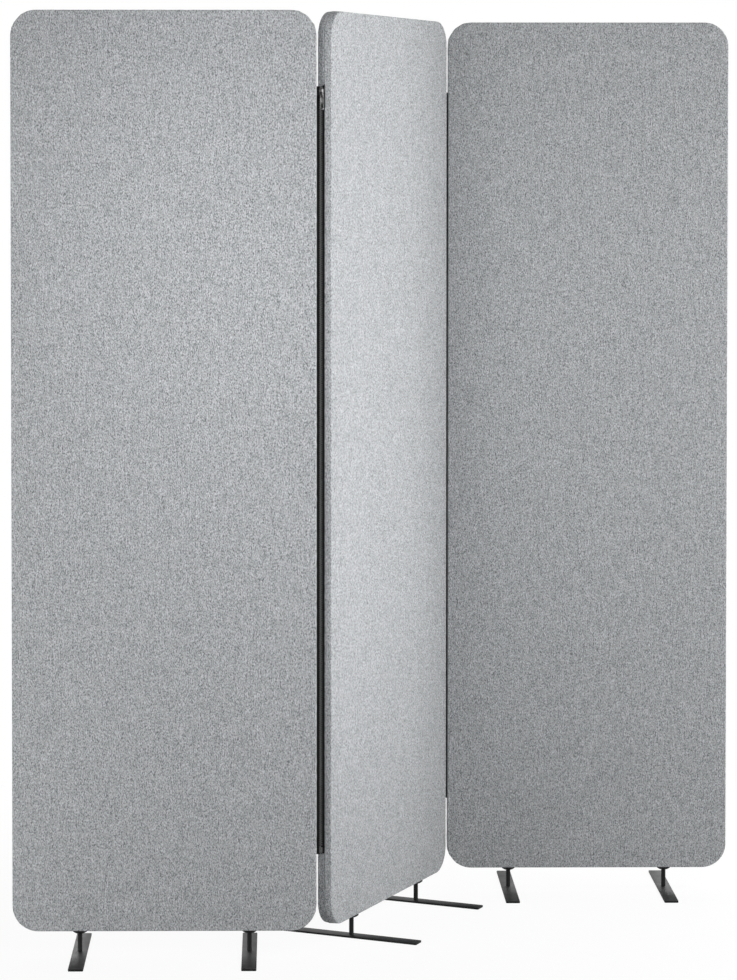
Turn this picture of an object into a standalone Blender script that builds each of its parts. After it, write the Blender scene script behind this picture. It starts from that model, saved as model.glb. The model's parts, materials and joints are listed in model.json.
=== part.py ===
"""Free-standing room divider screen: three fabric-covered acoustic panels on steel feet, zipped edge to edge.

Metres, +Z up. The left and right panels lie along X and face -Y, and the origin is on the floor under the
middle panel's centre. Each panel's own frame has its left seam line at x = 0 and its middle plane at y = 0.
A zip's tape flexes at both seams, so each zip is a narrow strip with a hinge line down each side.
"""

import math

import bmesh
import bpy
from mathutils import Matrix, Vector

# Panels
PANEL_WIDTH = 0.610
PANEL_HEIGHT = 1.844
PANEL_THICKNESS = 0.030
CORNER_RADIUS = 0.053
EDGE_ROUND = 0.006
COVER_WALL = 0.002
LIP_ROUND = 0.0015
RAIL_END_INSET = 0.057
RAIL_HEIGHT = 0.040

# Fits
FIT_GAP = 0.0003
CUT_OVERRUN = 0.001

# Feet
FLOOR_CLEARANCE = 0.046
FOOT_FROM_EDGE = 0.135
BAR_LENGTH = 0.300
BAR_WIDTH = 0.030
BAR_THICKNESS = 0.004
BAR_CORNER_RADIUS = 0.003
BAR_EDGE_ROUND = 0.0006
POST_RADIUS = 0.00475
POST_EDGE_ROUND = 0.0004
SPIGOT_RADIUS = 0.003
STUD_RADIUS = 0.0039
STUD_LENGTH = 0.022
STUD_POINT = 0.001
COLLAR_RADIUS = 0.0148
COLLAR_NECK_RADIUS = 0.0062
COLLAR_HEIGHT = 0.0055
COLLAR_RIM = 0.0012
INSERT_WALL = 0.0018
INSERT_LENGTH = 0.024

# Zips
STRIP_WIDTH = 0.018
ZIP_MARGIN = 0.152
TAPE_THICKNESS = 0.0008
TAPE_TUCK = 0.0003
TAPE_TOP_RISE = 0.005
TEETH_WIDTH = 0.0076
TEETH_THICKNESS = 0.0038
TEETH_SPLIT = 0.0012
TEETH_ROUND = 0.0008
STOP_LENGTH = 0.003
STOP_FROM_TAPE_END = 0.001
BOX_LENGTH = 0.011
BOX_FROM_TAPE_END = 0.002
BOX_WALL = 0.0011
PIN_THICKNESS = 0.0012

# Slider and pull tab
SLIDER_LENGTH = 0.024
SLIDER_WALL = 0.001
SLIDER_SIDE_WALL = 0.0013
SLIDER_ROUND = 0.0008
BRIDGE_LENGTH = 0.010
BRIDGE_WIDTH = 0.0024
BRIDGE_WALL = 0.0012
BRIDGE_LEG = 0.0028
BRIDGE_SINK = 0.0003
TAB_LENGTH = 0.031
TAB_WIDTH = 0.0098
TAB_THICKNESS = 0.0012
TAB_BAR = 0.0016
TAB_SIDE = 0.0018
TAB_PLAY = 0.0003
TAB_SLOT_LENGTH = 0.0058
TAB_WEB = 0.0122
TAB_WINDOW_LENGTH = 0.0088
TAB_CORNER = 0.0014

# Pose
FOLD_ANGLE = math.radians(64.7)

# Facets
CORNER_STEPS = 7
EDGE_STEPS = 3
LIP_STEPS = 2
BAR_CORNER_STEPS = 3
ROUND_SIDES = 20
SMOOTH_ANGLE = math.radians(40)

# Sizes worked out from the above
PANEL_TOP = FLOOR_CLEARANCE + PANEL_HEIGHT
HALF_THICKNESS = PANEL_THICKNESS / 2
FOOT_OFFSET = PANEL_WIDTH / 2 - FOOT_FROM_EDGE
SHELL_INSET = COVER_WALL + FIT_GAP
RAIL_TOP = FLOOR_CLEARANCE + SHELL_INSET + RAIL_HEIGHT
INSERT_RADIUS = STUD_RADIUS + FIT_GAP + INSERT_WALL
INSERT_FOOT = FLOOR_CLEARANCE + SHELL_INSET
TAPE_BOTTOM = FLOOR_CLEARANCE + ZIP_MARGIN
TAPE_TOP = PANEL_TOP - ZIP_MARGIN
STOP_FOOT = TAPE_TOP - STOP_FROM_TAPE_END - STOP_LENGTH
BOX_FOOT = TAPE_BOTTOM + BOX_FROM_TAPE_END
TEETH_FOOT = BOX_FOOT + BOX_LENGTH + FIT_GAP
TEETH_HEAD = STOP_FOOT - FIT_GAP
SLIDER_TOP = STOP_FOOT - FIT_GAP
SLIDER_MIDDLE = SLIDER_TOP - SLIDER_LENGTH / 2

COLOURS = {
    "heather_fabric": ((0.40, 0.41, 0.42), 0.95, 0.0),
    "felt_core": ((0.62, 0.62, 0.60), 0.95, 0.0),
    "rail_wood": ((0.55, 0.40, 0.24), 0.70, 0.0),
    "insert_steel": ((0.60, 0.60, 0.58), 0.35, 1.0),
    "black_coat": ((0.030, 0.031, 0.033), 0.45, 0.0),
    "zip_tape": ((0.012, 0.012, 0.013), 0.90, 0.0),
    "zip_plastic": ((0.020, 0.020, 0.021), 0.40, 0.0),
    "slider_metal": ((0.045, 0.045, 0.047), 0.30, 0.6),
}


def clear_scene():
    for obj in list(bpy.data.objects):
        bpy.data.objects.remove(obj, do_unlink=True)


def material(name):
    """The named material, made on first use."""
    found = bpy.data.materials.get(name)
    if found:
        return found
    colour, roughness, metallic = COLOURS[name]
    made = bpy.data.materials.new(name)
    made.use_nodes = True
    shader = made.node_tree.nodes["Principled BSDF"]
    shader.inputs["Base Color"].default_value = (*colour, 1.0)
    shader.inputs["Roughness"].default_value = roughness
    shader.inputs["Metallic"].default_value = metallic
    made.diffuse_color = (*colour, 1.0)
    return made


def empty(name, parent, location=(0, 0, 0), turn=0.0):
    """A parent frame at a place in its own parent's frame, turned about Z."""
    obj = bpy.data.objects.new(name, None)
    bpy.context.scene.collection.objects.link(obj)
    obj.parent = parent
    obj.location = location
    obj.rotation_euler = (0, 0, turn)
    return obj


def solid(name, bm, look, parent, location=(0, 0, 0), turn=0.0):
    """One sub-part from a bmesh, with its faces pointing out and round sides shaded smooth."""
    bmesh.ops.recalc_face_normals(bm, faces=bm.faces)
    mesh = bpy.data.meshes.new(name)
    bm.to_mesh(mesh)
    bm.free()
    mesh.materials.append(material(look))
    mesh.shade_smooth()
    mesh.set_sharp_from_angle(angle=SMOOTH_ANGLE)
    obj = bpy.data.objects.new(name, mesh)
    bpy.context.scene.collection.objects.link(obj)
    obj.parent = parent
    obj.location = location
    obj.rotation_euler = (0, 0, turn)
    return obj


def helper(obj):
    """Keeps a cutter or a joined shape out of the renders."""
    obj.hide_render = True
    obj.display_type = "WIRE"
    return obj


def boolean(obj, other, operation):
    modifier = obj.modifiers.new(operation.lower(), "BOOLEAN")
    modifier.operation = operation
    modifier.solver = "EXACT"
    modifier.object = helper(other)


def loft(bm, rings):
    """Closed rings of points joined by quads, with a face over the first ring and the last."""
    loops = [[bm.verts.new(point) for point in ring] for ring in rings]
    for lower, upper in zip(loops, loops[1:]):
        for i in range(len(lower)):
            j = (i + 1) % len(lower)
            bm.faces.new((lower[i], lower[j], upper[j], upper[i]))
    bm.faces.new(loops[0])
    bm.faces.new(loops[-1])


def extrude_up(bm, outline, low, high):
    """A prism over an outline of (x, y) points."""
    loft(bm, [[(x, y, z) for x, y in outline] for z in (low, high)])


def extrude_across(bm, outline, half_width):
    """A prism along X over an outline of (y, z) points."""
    loft(bm, [[(x, y, z) for y, z in outline] for x in (-half_width, half_width)])


def extrude_back(bm, outline, half_depth):
    """A prism along Y over an outline of (x, z) points."""
    loft(bm, [[(x, y, z) for x, z in outline] for y in (-half_depth, half_depth)])


def turned(profile):
    """A round solid about Z from (radius, z) points; a profile that stays off the axis makes a ring."""
    bm = bmesh.new()
    rings = []
    for radius, z in profile:
        if radius == 0:
            rings.append([bm.verts.new((0, 0, z))])
            continue
        angles = [math.tau * i / ROUND_SIDES for i in range(ROUND_SIDES)]
        rings.append([bm.verts.new((radius * math.cos(a), radius * math.sin(a), z)) for a in angles])
    pairs = list(zip(rings, rings[1:]))
    if profile[0][0] > 0 and profile[-1][0] > 0:
        pairs.append((rings[-1], rings[0]))
    for lower, upper in pairs:
        for i in range(ROUND_SIDES):
            j = (i + 1) % ROUND_SIDES
            if len(lower) == 1:
                bm.faces.new((lower[0], upper[j], upper[i]))
            elif len(upper) == 1:
                bm.faces.new((lower[i], lower[j], upper[0]))
            else:
                bm.faces.new((lower[i], lower[j], upper[j], upper[i]))
    return bm


def arc(steps, start=0.0, end=math.pi / 2):
    """Angles along an arc, both ends included."""
    return [start + (end - start) * i / steps for i in range(steps + 1)]


def rounded_rectangle(width, height, radius, steps, inset):
    """Points round a rectangle with round corners, drawn in by inset, from the lower right corner."""
    centre_x, centre_y = width / 2 - radius, height / 2 - radius
    drawn = radius - inset
    points = []
    for quarter, (side_x, side_y) in enumerate(((1, -1), (1, 1), (-1, 1), (-1, -1))):
        first = (quarter - 1) * math.pi / 2
        for angle in arc(steps, first, first + math.pi / 2):
            x = side_x * centre_x + drawn * math.cos(angle)
            points.append((x, side_y * centre_y + drawn * math.sin(angle)))
    return points


def panel_outline(inset, notch=()):
    """The panel's rounded outline in X and Z, drawn in by inset, with any notch points in its bottom edge."""
    middle = FLOOR_CLEARANCE + PANEL_HEIGHT / 2
    outline = rounded_rectangle(PANEL_WIDTH, PANEL_HEIGHT, CORNER_RADIUS, CORNER_STEPS, inset)
    return [(x, z + middle) for x, z in outline] + list(notch)


def panel_ring(inset, y, notch=()):
    return [(x, y, z) for x, z in panel_outline(inset, notch)]


def cover(name, parent, turn, cutters):
    """A fabric shell: face, rounded rim and half of the edge, down to the seam in the middle plane."""
    seam = -FIT_GAP / 2
    rim = EDGE_ROUND - HALF_THICKNESS
    inner_round = EDGE_ROUND - COVER_WALL
    rings = []
    for angle in arc(EDGE_STEPS):
        rings.append(panel_ring(EDGE_ROUND * (1 - math.sin(angle)), rim - EDGE_ROUND * math.cos(angle)))
    for angle in arc(LIP_STEPS):
        rings.append(panel_ring(LIP_ROUND * (1 - math.cos(angle)), seam - LIP_ROUND * (1 - math.sin(angle))))
    rings.append(panel_ring(COVER_WALL, seam))
    for angle in reversed(arc(EDGE_STEPS - 1)):
        inset = COVER_WALL + inner_round * (1 - math.sin(angle))
        rings.append(panel_ring(inset, rim - inner_round * math.cos(angle)))
    bm = bmesh.new()
    loft(bm, rings)
    shell = solid(name, bm, "heather_fabric", parent, (PANEL_WIDTH / 2, 0, 0), turn)
    for cutter in cutters:
        boolean(shell, cutter, "DIFFERENCE")


def core_board(name, parent):
    """The felt slab that fills the covers, notched over the bottom rail."""
    half_rail = PANEL_WIDTH / 2 - RAIL_END_INSET + FIT_GAP
    notch_top = RAIL_TOP + FIT_GAP
    half_depth = HALF_THICKNESS - SHELL_INSET
    chamfer = EDGE_ROUND - SHELL_INSET
    rings = []
    for inset, y in (
        (EDGE_ROUND, -half_depth),
        (SHELL_INSET, chamfer - half_depth),
        (SHELL_INSET, half_depth - chamfer),
        (EDGE_ROUND, half_depth),
    ):
        foot = FLOOR_CLEARANCE + inset
        notch = ((-half_rail, foot), (-half_rail, notch_top), (half_rail, notch_top), (half_rail, foot))
        rings.append(panel_ring(inset, y, notch))
    bm = bmesh.new()
    loft(bm, rings)
    solid(name, bm, "felt_core", parent, (PANEL_WIDTH / 2, 0, 0))


def bottom_rail(name, parent, cutters):
    """The wooden rail that holds the feet's threaded inserts."""
    half_depth = HALF_THICKNESS - SHELL_INSET
    chamfer = EDGE_ROUND - SHELL_INSET
    foot = FLOOR_CLEARANCE + SHELL_INSET
    outline = [
        (chamfer - half_depth, foot),
        (half_depth - chamfer, foot),
        (half_depth, foot + chamfer),
        (half_depth, RAIL_TOP),
        (-half_depth, RAIL_TOP),
        (-half_depth, foot + chamfer),
    ]
    bm = bmesh.new()
    extrude_across(bm, outline, PANEL_WIDTH / 2 - RAIL_END_INSET)
    rail = solid(name, bm, "rail_wood", parent, (PANEL_WIDTH / 2, 0, 0))
    for cutter in cutters:
        boolean(rail, cutter, "DIFFERENCE")


def bore_cutter(name, radius, low, high, parent, location):
    bm = turned([(0, low), (radius, low), (radius, high), (0, high)])
    return helper(solid(name, bm, "insert_steel", parent, location))


def threaded_insert(name, parent, location):
    """The steel bush in the rail that a foot's stud screws into."""
    bore = STUD_RADIUS + FIT_GAP
    top = INSERT_FOOT + INSERT_LENGTH
    profile = [(bore, INSERT_FOOT), (INSERT_RADIUS, INSERT_FOOT), (INSERT_RADIUS, top), (bore, top)]
    solid(name, turned(profile), "insert_steel", parent, location)


def foot_bar(name, parent, location):
    """The flat bar on the floor, square to the panel, with the hole that takes the post's spigot."""
    rings = []
    for inset, z in (
        (BAR_EDGE_ROUND, 0),
        (0, BAR_EDGE_ROUND),
        (0, BAR_THICKNESS - BAR_EDGE_ROUND),
        (BAR_EDGE_ROUND, BAR_THICKNESS),
    ):
        outline = rounded_rectangle(BAR_WIDTH, BAR_LENGTH, BAR_CORNER_RADIUS, BAR_CORNER_STEPS, inset)
        rings.append([(x, y, z) for x, y in outline])
    bm = bmesh.new()
    loft(bm, rings)
    bar = solid(name, bm, "black_coat", parent, location)
    radius = SPIGOT_RADIUS + FIT_GAP
    hole = bore_cutter(name + "_hole", radius, -CUT_OVERRUN, BAR_THICKNESS + CUT_OVERRUN, parent, location)
    boolean(bar, hole, "DIFFERENCE")


def foot_post(name, parent, location):
    """The round post: spigot in the bar, rod, and the stud that screws up into the panel."""
    shoulder = FLOOR_CLEARANCE - COLLAR_HEIGHT - FIT_GAP - FIT_GAP
    stud_top = FLOOR_CLEARANCE + STUD_LENGTH
    rod_foot = BAR_THICKNESS + FIT_GAP
    profile = [
        (0, FIT_GAP),
        (SPIGOT_RADIUS, FIT_GAP),
        (SPIGOT_RADIUS, rod_foot),
        (POST_RADIUS, rod_foot),
        (POST_RADIUS, shoulder - POST_EDGE_ROUND),
        (POST_RADIUS - POST_EDGE_ROUND, shoulder),
        (STUD_RADIUS, shoulder),
        (STUD_RADIUS, stud_top - STUD_POINT),
        (STUD_RADIUS - STUD_POINT, stud_top),
        (0, stud_top),
    ]
    solid(name, turned(profile), "black_coat", parent, location)


def foot_collar(name, parent, location):
    """The dished collar between the post's shoulder and the panel's underside."""
    top = FLOOR_CLEARANCE - FIT_GAP
    foot = top - COLLAR_HEIGHT
    bore = STUD_RADIUS + FIT_GAP
    swell = COLLAR_RADIUS - COLLAR_NECK_RADIUS
    drop = COLLAR_HEIGHT - COLLAR_RIM
    profile = [(bore, top), (bore, foot)]
    for angle in arc(EDGE_STEPS):
        radius = COLLAR_NECK_RADIUS + swell * math.sin(angle)
        profile.append((radius, foot + drop * (1 - math.cos(angle))))
    profile.append((COLLAR_RADIUS, top))
    solid(name, turned(profile), "black_coat", parent, location)


def panel(name, parent):
    """One panel with its two feet, in the panel's own frame."""
    notch_cutters, rail_cutters = [], []
    bore = STUD_RADIUS + FIT_GAP
    for side, offset in (("left", -FOOT_OFFSET), ("right", FOOT_OFFSET)):
        place = (PANEL_WIDTH / 2 + offset, 0, 0)
        label = f"{name}_{side}"
        low = FLOOR_CLEARANCE - CUT_OVERRUN
        notch_cutters.append(bore_cutter(label + "_stud_notch", bore, low, RAIL_TOP, parent, place))
        rail_bore = INSERT_RADIUS + FIT_GAP
        high = INSERT_FOOT + INSERT_LENGTH + FIT_GAP
        rail_cutters.append(bore_cutter(label + "_insert_bore", rail_bore, low, high, parent, place))
        threaded_insert(label + "_insert", parent, place)
        foot_bar(label + "_foot_bar", parent, place)
        foot_post(label + "_foot_post", parent, place)
        foot_collar(label + "_foot_collar", parent, place)
    cover(name + "_front_cover", parent, 0.0, notch_cutters)
    cover(name + "_back_cover", parent, math.pi, notch_cutters)
    core_board(name + "_core_board", parent)
    bottom_rail(name + "_bottom_rail", parent, rail_cutters)


def zip_tape(name, side, top_rise, parent):
    """A woven tape from its seam to its row of teeth; its top end may slant up towards the seam."""
    outer = side * (STRIP_WIDTH / 2 + TAPE_TUCK)
    inner = side * (TEETH_WIDTH / 2 + FIT_GAP)
    outline = [(outer, TAPE_BOTTOM), (inner, TAPE_BOTTOM), (inner, TAPE_TOP), (outer, TAPE_TOP + top_rise)]
    bm = bmesh.new()
    extrude_back(bm, outline, TAPE_THICKNESS / 2)
    solid(name, bm, "zip_tape", parent)


def teeth_block(name, side, low, high, look, parent):
    """A bar as wide and thick as one row of teeth, rounded along its outer edges."""
    inner, outer = side * TEETH_SPLIT / 2, side * TEETH_WIDTH / 2
    half = TEETH_THICKNESS / 2
    cut = outer - side * TEETH_ROUND
    outline = [
        (inner, -half),
        (cut, -half),
        (outer, TEETH_ROUND - half),
        (outer, half - TEETH_ROUND),
        (cut, half),
        (inner, half),
    ]
    bm = bmesh.new()
    extrude_up(bm, outline, low, high)
    solid(name, bm, look, parent)


def retainer_box(name, parent):
    """The box at the zip's foot, open on one side for the insertion pin."""
    half_x = TEETH_WIDTH / 2
    slot = PIN_THICKNESS / 2 + FIT_GAP
    half_y = slot + BOX_WALL
    slot_end = TEETH_SPLIT / 2
    outline = [
        (-half_x, -half_y),
        (half_x, -half_y),
        (half_x, -slot),
        (slot_end, -slot),
        (slot_end, slot),
        (half_x, slot),
        (half_x, half_y),
        (-half_x, half_y),
    ]
    bm = bmesh.new()
    extrude_up(bm, outline, BOX_FOOT, BOX_FOOT + BOX_LENGTH)
    solid(name, bm, "zip_plastic", parent)


def insertion_pin(name, parent):
    left = TEETH_SPLIT / 2 + FIT_GAP
    right = TEETH_WIDTH / 2
    half = PIN_THICKNESS / 2
    outline = [(left, -half), (right, -half), (right, half), (left, half)]
    bm = bmesh.new()
    extrude_up(bm, outline, BOX_FOOT, BOX_FOOT + BOX_LENGTH)
    solid(name, bm, "zip_plastic", parent)


def slider(name, parent):
    """Plates before and behind the teeth, joined by a thin neck between the two rows, with a pull bridge."""
    teeth_x = TEETH_WIDTH / 2 + FIT_GAP
    teeth_y = TEETH_THICKNESS / 2 + FIT_GAP
    side_x = teeth_x + SLIDER_SIDE_WALL
    plate_y = teeth_y + SLIDER_WALL
    tape_y = TAPE_THICKNESS / 2 + FIT_GAP
    neck_x = TEETH_SPLIT / 2 - FIT_GAP
    quarter = [
        (neck_x, teeth_y),
        (teeth_x, teeth_y),
        (teeth_x, tape_y),
        (side_x, tape_y),
        (side_x, plate_y - SLIDER_ROUND),
        (side_x - SLIDER_ROUND, plate_y),
    ]
    outline = [(x, -y) for x, y in quarter]
    outline += [(-x, -y) for x, y in reversed(quarter)]
    outline += [(-x, y) for x, y in quarter]
    outline += [(x, y) for x, y in reversed(quarter)]
    bm = bmesh.new()
    extrude_up(bm, outline, -SLIDER_LENGTH / 2, SLIDER_LENGTH / 2)
    body = solid(name, bm, "slider_metal", parent)
    boolean(body, pull_bridge(name + "_bridge", plate_y, parent), "UNION")
    return plate_y


def pull_bridge(name, plate_y, parent):
    """The arch on the slider's front plate that the pull tab's bar passes under."""
    opening = tab_reach() * 2 + TAB_PLAY
    inner, outer = plate_y + opening, plate_y + opening + BRIDGE_WALL
    half, inner_half = BRIDGE_LENGTH / 2, BRIDGE_LENGTH / 2 - BRIDGE_LEG
    base = plate_y - BRIDGE_SINK
    profile = [
        (base, -half),
        (outer - BRIDGE_WALL, -half),
        (outer, BRIDGE_WALL - half),
        (outer, half - BRIDGE_WALL),
        (outer - BRIDGE_WALL, half),
        (base, half),
        (base, inner_half),
        (inner, inner_half),
        (inner, -inner_half),
        (base, -inner_half),
    ]
    bm = bmesh.new()
    extrude_across(bm, [(-y, z) for y, z in profile], BRIDGE_WIDTH / 2)
    return solid(name, bm, "slider_metal", parent)


def tab_reach():
    """How far the tab's bar reaches from its own centre line as it turns."""
    return math.hypot(TAB_BAR / 2, TAB_THICKNESS / 2) + TAB_PLAY / 2


def pull_tab(name, parent):
    """The hanging tab, on its own bar, with a slot round the bridge's leg and a window near its end."""
    half_x = TAB_WIDTH / 2
    foot = TAB_BAR / 2 - TAB_LENGTH
    outline = [
        (-half_x, TAB_BAR / 2),
        (-half_x, foot + TAB_CORNER),
        (TAB_CORNER - half_x, foot),
        (half_x - TAB_CORNER, foot),
        (half_x, foot + TAB_CORNER),
        (half_x, TAB_BAR / 2),
    ]
    bm = bmesh.new()
    extrude_back(bm, outline, TAB_THICKNESS / 2)
    tab = solid(name, bm, "slider_metal", parent)
    slot_top = -TAB_BAR / 2
    window_top = slot_top - TAB_SLOT_LENGTH - TAB_WEB
    openings = (("slot", slot_top, TAB_SLOT_LENGTH), ("window", window_top, TAB_WINDOW_LENGTH))
    for label, top, length in openings:
        bm = bmesh.new()
        half = half_x - TAB_SIDE
        box = [(-half, top - length), (half, top - length), (half, top), (-half, top)]
        extrude_back(bm, box, TAB_THICKNESS / 2 + CUT_OVERRUN)
        boolean(tab, solid(f"{name}_{label}", bm, "slider_metal", parent), "DIFFERENCE")


def zip_strip(name, outer_panel, strip):
    """A closed zip in its strip's frame: centre line at x = 0, pull on -Y, middle panel's tape on +X."""
    for label, side, rise in ((outer_panel, -1, 0.0), ("middle", 1, TAPE_TOP_RISE)):
        zip_tape(f"{name}_{label}_tape", side, rise, strip)
        teeth_block(f"{name}_{label}_teeth", side, TEETH_FOOT, TEETH_HEAD, "zip_plastic", strip)
        stop_top = STOP_FOOT + STOP_LENGTH
        teeth_block(f"{name}_{label}_top_stop", side, STOP_FOOT, stop_top, "slider_metal", strip)
    retainer_box(name + "_retainer_box", strip)
    insertion_pin(name + "_insertion_pin", strip)
    carriage = empty(name + "_slider_frame", strip, (0, 0, SLIDER_MIDDLE))
    plate_y = slider(name + "_slider", carriage)
    pivot = empty(name + "_pull_pivot", carriage, (0, -plate_y - tab_reach(), 0))
    pull_tab(name + "_pull_tab", pivot)


def screen():
    """The three panels in a Z fold, chained seam by seam through the two zips from the middle panel."""
    half_fold = FOLD_ANGLE / 2
    along = Vector((PANEL_WIDTH, 0, 0))
    across = Vector((STRIP_WIDTH, 0, 0))
    middle_corner = Matrix.Rotation(FOLD_ANGLE, 3, "Z") @ -along / 2

    middle_panel = empty("middle_panel_frame", None, middle_corner, FOLD_ANGLE)
    near_zip = empty("near_zip_hinge", middle_panel, turn=-half_fold)
    left_hinge = empty("left_panel_hinge", near_zip, -across, -half_fold)
    left_panel = empty("left_panel_frame", left_hinge, -along)
    far_zip = empty("far_zip_hinge", middle_panel, along, -half_fold)
    right_panel = empty("right_panel_hinge", far_zip, across, -half_fold)

    panel("left_panel", left_panel)
    panel("middle_panel", middle_panel)
    panel("right_panel", right_panel)
    near_strip = empty("near_zip_strip", near_zip, -across / 2)
    far_strip = empty("far_zip_strip", far_zip, across / 2, math.pi)
    zip_strip("near_zip", "left", near_strip)
    zip_strip("far_zip", "right", far_strip)
    bpy.context.view_layer.update()


clear_scene()
screen()
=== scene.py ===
"""Looks of the room divider screen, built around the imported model.

Metres, +Z up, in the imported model's own frame. A panel's own frame has its left seam line at x = 0, its
middle plane at y = 0, its front at negative y and the floor at z = 0. A zip's own frame has its middle line
at x = 0, its slider at negative y, the outer panel at negative x and the floor at z = 0.
"""

import json
import math
import random

import bmesh
import bpy
import numpy as np
from mathutils import Matrix, Vector


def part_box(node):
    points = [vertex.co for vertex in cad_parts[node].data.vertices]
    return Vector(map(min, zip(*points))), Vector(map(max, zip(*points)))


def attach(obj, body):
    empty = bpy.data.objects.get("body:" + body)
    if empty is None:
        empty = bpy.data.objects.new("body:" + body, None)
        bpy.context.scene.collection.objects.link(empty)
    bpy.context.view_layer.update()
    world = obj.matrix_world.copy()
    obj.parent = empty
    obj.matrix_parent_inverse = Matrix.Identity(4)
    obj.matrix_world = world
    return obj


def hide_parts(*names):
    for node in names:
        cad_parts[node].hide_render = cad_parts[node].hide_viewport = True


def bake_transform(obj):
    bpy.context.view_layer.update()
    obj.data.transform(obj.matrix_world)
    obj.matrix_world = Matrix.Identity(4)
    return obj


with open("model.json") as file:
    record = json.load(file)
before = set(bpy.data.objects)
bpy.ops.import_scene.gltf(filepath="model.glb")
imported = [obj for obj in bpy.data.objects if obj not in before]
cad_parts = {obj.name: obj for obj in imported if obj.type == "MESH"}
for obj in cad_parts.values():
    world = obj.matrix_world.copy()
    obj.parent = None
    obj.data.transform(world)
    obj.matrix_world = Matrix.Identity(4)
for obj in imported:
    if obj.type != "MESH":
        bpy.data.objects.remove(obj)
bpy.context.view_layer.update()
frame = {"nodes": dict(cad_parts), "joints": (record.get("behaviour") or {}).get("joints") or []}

TAU = 2 * math.pi
QUARTER = math.pi / 2
SEED = 11
CLOTH_MAP = "cloth"

# Camera, fitted to the photograph's edges and feet; the sensor's height is in millimetres
IMAGE_WIDTH = 737
IMAGE_HEIGHT = 980
FOCAL_PIXELS = 3201.6
AXIS_COLUMN = 310.9
AXIS_ROW = 258.2
SENSOR_HEIGHT = 36.0
CAMERA_PLACE = (-0.2249, -6.6735, 1.5848)
CAMERA_PITCH = math.radians(-1.701)
CAMERA_YAW = math.radians(-0.608)

# Outline and edge of a panel; a ring over its face has an inset and takes every so many points
CORNER_RADIUS = 0.053
EDGE_ROUND = 0.0020
EDGE_LEAN = 0.0010
EDGE_DEPTH = EDGE_LEAN + EDGE_ROUND
SIDE_STEP = 0.004
GRID_STRIDE = 4
GUSSET_RINGS = 6
ROUND_RINGS = 5
FACE_RINGS = ((0.007, 1), (0.012, 1), (0.018, 2), (0.026, 4), (0.038, 4), (0.049, 4))

# Seam between a panel's two covers; a lining ring has a share of the inner depth and an inset
SEAM_GAP = 0.0002
LIP_DEPTH = 0.0022
LIP_ROUND = 0.0016
LIP_STEPS = 4
COVER_THICKNESS = 0.0014
LINING_RINGS = ((0.1, LIP_DEPTH), (0.7, LIP_DEPTH), (1, EDGE_DEPTH))
EYELET_RADIUS = 0.0064
RIPPLE_WAVES = 7
SEAM_WANDER = 0.00035
SEAM_WAVES = (0.009, 0.026)
SEAM_CALM = 0.25
PLEAT_HEIGHT = 0.0004
PLEAT_WAVES = (0.007, 0.014)
PUCKER_HEIGHT = 0.00012
PUCKER_WAVES = (0.018, 0.045)
RIDGE_HEIGHT = 0.0006
RIDGE_WAVES = (0.02, 0.06)
RIDGE_PLACE = 0.0045
RIDGE_SPREAD = 0.0016

# Seeds: those set aside for one panel, and each wave's place among them
PANEL_SEEDS = 40
FACE_SEED = 1
PLEAT_SEED = 1
PUCKER_SEED = 5
RIDGE_SEED = 9

# Slow waves of the cloth over a panel's face
FACE_WAVES = 6
FACE_WAVE_LENGTH = 0.16
FACE_WAVE_HEIGHT = 0.00022
FACE_CROWN = 0.0005

# Zip tapes
TAPE_TUCK = 0.0016
TAPE_HALF = 0.0004
TAPE_RIB_DEPTH = 0.00007
TAPE_RIB_STEP = 0.0004
TAPE_ROW_STEP = 0.02
TAPE_WAVE = 0.00012
TAPE_WAVE_ROWS = 9
TAPE_SWELLS = 5
BEAD_INNER = 0.0010
BEAD_OUTER = 0.0027
BEAD_HALF = 0.0007

# Zip teeth: distance from the middle line, half height and half depth along one tooth
TEETH_PITCH = 0.00454
TOOTH_POINTS = 10
TOOTH_POWER = 3.4
TOOTH_OUTER = 0.0038
TOOTH_CREASE = math.radians(50)
TOOTH_SECTIONS = (
    (0.00380, 0.00085, 0.00100),
    (0.00352, 0.00128, 0.00160),
    (0.00250, 0.00142, 0.00190),
    (0.00175, 0.00118, 0.00176),
    (0.00125, 0.00090, 0.00150),
    (0.00060, 0.00111, 0.00164),
    (-0.00045, 0.00111, 0.00150),
    (-0.00095, 0.00070, 0.00090),
)

# Slider and pull tab, in the slider's frame
PLATE_HALF_Y = 0.0032
PLATE_THICKNESS = 0.0010
PLATE_ROUND = 0.00035
SHOULDER = 0.0056
WAIST = 0.0045
SHOULDER_RADIUS = 0.0032
WAIST_RADIUS = 0.0022
FLANGE_WIDTH = 0.0011
FLANGE_GAP = 0.00072
NECK_HALF = 0.0003
NECK_LENGTH = 0.010
NECK_TOP_HALF = 0.0012
NECK_ROUND = 0.0001
CROWN_HALF_LENGTH = 0.0050
CROWN_WIDTH = 0.0024
CROWN_LEG = 0.0028
CROWN_OPENING = 0.0026
CROWN_WALL = 0.0012
CROWN_BEND = 0.0024
TAB_TOP_WIDTH = 0.0080
TAB_WIDTH = 0.0098
TAB_BAR = 0.0016
TAB_HALF = 0.0006
TAB_SIDE = 0.0018
TAB_ROUND = 0.00025
TAB_CORNER = 0.0014
TAB_SLOT_LENGTH = 0.0058
TAB_WINDOW_LENGTH = 0.0088
TAB_FOOT_BAR = 0.0026
TAB_PIVOT_REACH = 0.00115
RUNG_HALF_HEIGHT = 0.0006
RUNG_CORNER = 0.00054
RUNG_RAISE = 0.0003
RUNG_PLACES = (-0.0110, -0.0165)

# Feet
ROUND_SIDES = 48
BAR_CORNER = 0.003
BAR_EDGE = 0.0006
POST_SINK = 0.0002
POST_FILLET = 0.0005
POST_FILLET_BEND = 0.3
STUD_STEP = 0.001
COLLAR_NECK = 0.0062
COLLAR_RIM = 0.0012
COLLAR_BOWL = 1.8
COLLAR_STEPS = 10

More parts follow.
